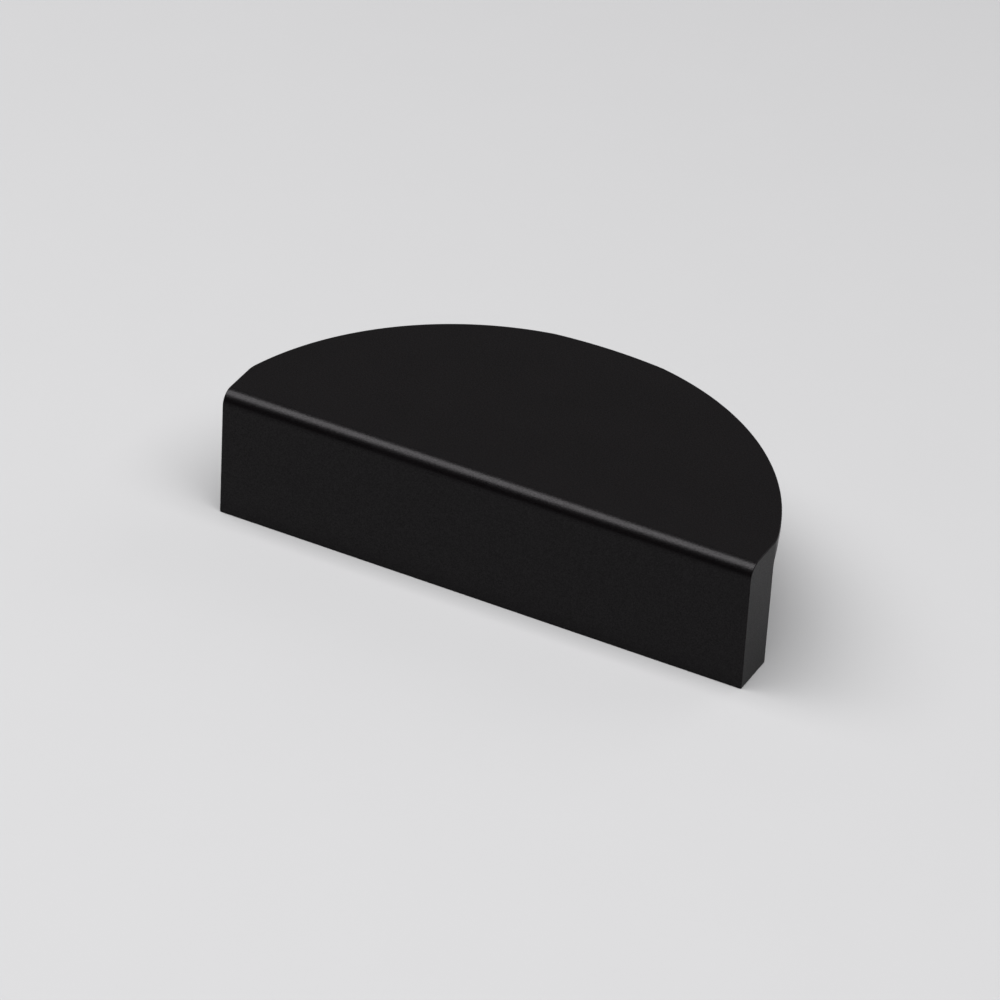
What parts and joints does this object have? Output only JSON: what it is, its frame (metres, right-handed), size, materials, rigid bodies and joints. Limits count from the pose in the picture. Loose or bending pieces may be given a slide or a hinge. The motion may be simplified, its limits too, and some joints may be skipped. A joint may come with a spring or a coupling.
{
  "type": "half moon cabinet pull",
  "caption": "Angle-section cabinet pull: a straight wall with tapped holes in its foot carries a thin half-moon plate that fingers hook behind.",
  "frame": {"origin": "on the mounting face, midway between the screw holes and across the middle of the foot", "axes": "+X along the wall, +Y from the wall towards the crown of the half moon, +Z away from the door"},
  "size_m": [0.1, 0.0477, 0.0244],
  "materials": {
    "black_anodised": "matte, fine-blasted and black anodised"
  },
  "bodies": {
    "root": {"half_moon_pull": "black_anodised"}
  },
  "joints": []
}
